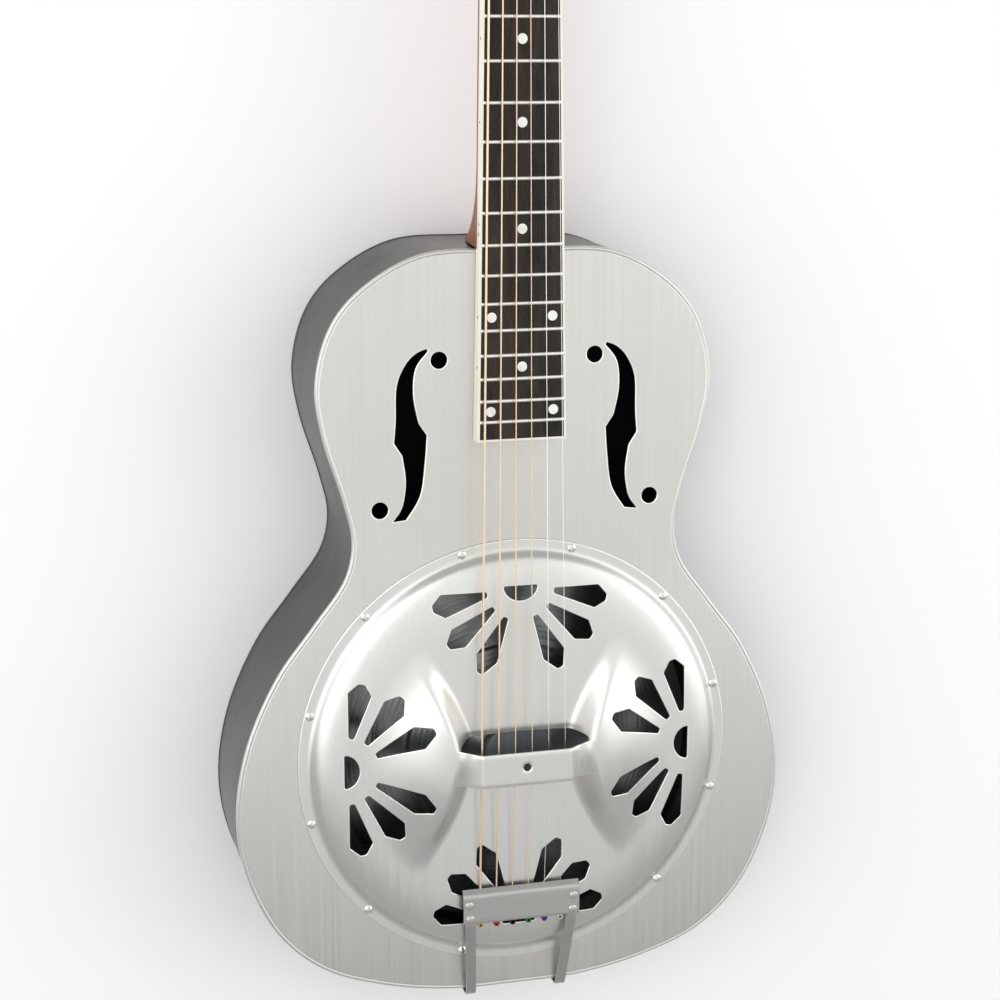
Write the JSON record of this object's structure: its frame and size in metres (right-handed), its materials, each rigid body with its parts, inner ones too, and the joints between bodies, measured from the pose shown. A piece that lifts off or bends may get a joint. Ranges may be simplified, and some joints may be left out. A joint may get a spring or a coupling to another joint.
{
  "type": "resonator guitar",
  "caption": "Metal-bodied resonator guitar with a spun cone under a fan-pierced domed coverplate, f-shaped sound holes, bound fretboard and open geared tuners.",
  "frame": {"origin": "on the flat back face, right under the centre of the cone", "axes": "+Y along the neck to the headstock, +X to the treble side, +Z out of the top towards the strings"},
  "size_m": [0.3544, 0.994, 0.1132],
  "materials": {
    "satin_nickel": "satin nickel plate with fine brushing",
    "body_nickel": "satin nickel plate, darker on the sides",
    "polished_nickel": "bright nickel",
    "spun_aluminium": "spun, with fine rings",
    "plain_steel": "bright drawn steel",
    "wound_bronze": "fine close winding",
    "gear_brass": "cut brass",
    "mahogany": "satin lacquer over open grain",
    "maple": "bare, fine grain",
    "rosewood": "oiled, open pores",
    "cream_plastic": "polished",
    "bone": "polished",
    "black_plastic": "polished"
  },
  "bodies": {
    "guitar": {"body_top": "satin_nickel", "body_sides": "body_nickel", "body_back": "body_nickel", "sound_well": "body_nickel", "neck_stick": "mahogany", "cone": "spun_aluminium", "biscuit": "maple", "saddle": "rosewood", "biscuit_screw": "plain_steel", "coverplate": "satin_nickel", "hand_rest": "polished_nickel", "headstock_veneer": "rosewood", "truss_rod_cover": "black_plastic", "tuner_bass_1_bushing": "polished_nickel", "tuner_bass_1_plate": "polished_nickel", "tuner_bass_2_bushing": "polished_nickel", "tuner_bass_2_plate": "polished_nickel", "tuner_bass_3_bushing": "polished_nickel", "tuner_bass_3_plate": "polished_nickel", "tuner_treble_3_bushing": "polished_nickel", "tuner_treble_3_plate": "polished_nickel", "tuner_treble_2_bushing": "polished_nickel", "tuner_treble_2_plate": "polished_nickel", "tuner_treble_1_bushing": "polished_nickel", "tuner_treble_1_plate": "polished_nickel", "truss_rod": "plain_steel", "neck": "mahogany", "fretboard": "rosewood", "fretboard_binding": "cream_plastic", "nut": "bone", "tailpiece_plate": "polished_nickel", "tailpiece_strap_bass": "polished_nickel", "tailpiece_strap_treble": "polished_nickel", "tailpiece_bracket": "polished_nickel", "strap_button": "polished_nickel", "string_6_low_e": "wound_bronze", "string_5_a": "wound_bronze", "string_4_d": "wound_bronze", "string_3_g": "wound_bronze", "string_2_b": "plain_steel", "string_1_high_e": "plain_steel"},
    "tuner_bass_1_button": {"tuner_bass_1_worm": "polished_nickel"},
    "tuner_bass_1_spindle": {"tuner_bass_1_post": "polished_nickel", "tuner_bass_1_gear": "gear_brass"},
    "tuner_bass_2_button": {"tuner_bass_2_worm": "polished_nickel"},
    "tuner_bass_2_spindle": {"tuner_bass_2_post": "polished_nickel", "tuner_bass_2_gear": "gear_brass"},
    "tuner_bass_3_button": {"tuner_bass_3_worm": "polished_nickel"},
    "tuner_bass_3_spindle": {"tuner_bass_3_post": "polished_nickel", "tuner_bass_3_gear": "gear_brass"},
    "tuner_treble_3_button": {"tuner_treble_3_worm": "polished_nickel"},
    "tuner_treble_3_spindle": {"tuner_treble_3_post": "polished_nickel", "tuner_treble_3_gear": "gear_brass"},
    "tuner_treble_2_button": {"tuner_treble_2_worm": "polished_nickel"},
    "tuner_treble_2_spindle": {"tuner_treble_2_post": "polished_nickel", "tuner_treble_2_gear": "gear_brass"},
    "tuner_treble_1_button": {"tuner_treble_1_worm": "polished_nickel"},
    "tuner_treble_1_spindle": {"tuner_treble_1_post": "polished_nickel", "tuner_treble_1_gear": "gear_brass"},
    "rod_nut": {"truss_rod_nut": "plain_steel"}
  },
  "joints": [
    {"name": "bass_1_button_turn", "type": "hinge", "parent": "guitar", "child": "tuner_bass_1_button", "pos_m": [-0.0245, 0.69037, 0.04904], "axis": [1, 0, 0], "continuous": true},
    {"name": "bass_1_post_turn", "type": "hinge", "parent": "guitar", "child": "tuner_bass_1_spindle", "pos_m": [-0.0245, 0.68383, 0.05655], "axis": [0, 0.2419, 0.9703], "continuous": true},
    {"name": "bass_2_button_turn", "type": "hinge", "parent": "guitar", "child": "tuner_bass_2_button", "pos_m": [-0.0225, 0.7321, 0.03864], "axis": [1, 0, 0], "continuous": true},
    {"name": "bass_2_post_turn", "type": "hinge", "parent": "guitar", "child": "tuner_bass_2_spindle", "pos_m": [-0.0225, 0.72556, 0.04615], "axis": [0, 0.2419, 0.9703], "continuous": true},
    {"name": "bass_3_button_turn", "type": "hinge", "parent": "guitar", "child": "tuner_bass_3_button", "pos_m": [-0.0205, 0.77382, 0.02824], "axis": [1, 0, 0], "continuous": true},
    {"name": "bass_3_post_turn", "type": "hinge", "parent": "guitar", "child": "tuner_bass_3_spindle", "pos_m": [-0.0205, 0.76728, 0.03574], "axis": [0, 0.2419, 0.9703], "continuous": true},
    {"name": "treble_3_button_turn", "type": "hinge", "parent": "guitar", "child": "tuner_treble_3_button", "pos_m": [0.0205, 0.77382, 0.02824], "axis": [1, 0, 0], "continuous": true},
    {"name": "treble_3_post_turn", "type": "hinge", "parent": "guitar", "child": "tuner_treble_3_spindle", "pos_m": [0.0205, 0.76728, 0.03574], "axis": [0, 0.2419, 0.9703], "continuous": true},
    {"name": "treble_2_button_turn", "type": "hinge", "parent": "guitar", "child": "tuner_treble_2_button", "pos_m": [0.0225, 0.7321, 0.03864], "axis": [1, 0, 0], "continuous": true},
    {"name": "treble_2_post_turn", "type": "hinge", "parent": "guitar", "child": "tuner_treble_2_spindle", "pos_m": [0.0225, 0.72556, 0.04615], "axis": [0, 0.2419, 0.9703], "continuous": true},
    {"name": "treble_1_button_turn", "type": "hinge", "parent": "guitar", "child": "tuner_treble_1_button", "pos_m": [0.0245, 0.69037, 0.04904], "axis": [1, 0, 0], "continuous": true},
    {"name": "treble_1_post_turn", "type": "hinge", "parent": "guitar", "child": "tuner_treble_1_spindle", "pos_m": [0.0245, 0.68383, 0.05655], "axis": [0, 0.2419, 0.9703], "continuous": true},
    {"name": "rod_nut_turn", "type": "hinge", "parent": "guitar", "child": "rod_nut", "pos_m": [0, 0.6375, 0.0771], "axis": [0, 0.9998, -0.0175], "range_deg": [-360, 360]}
  ],
  "couplings": [
    {"joint": "bass_1_post_turn", "follows": "bass_1_button_turn", "ratio": 0.071429},
    {"joint": "bass_2_post_turn", "follows": "bass_2_button_turn", "ratio": 0.071429},
    {"joint": "bass_3_post_turn", "follows": "bass_3_button_turn", "ratio": 0.071429},
    {"joint": "treble_3_post_turn", "follows": "treble_3_button_turn", "ratio": 0.071429},
    {"joint": "treble_2_post_turn", "follows": "treble_2_button_turn", "ratio": 0.071429},
    {"joint": "treble_1_post_turn", "follows": "treble_1_button_turn", "ratio": 0.071429}
  ]
}
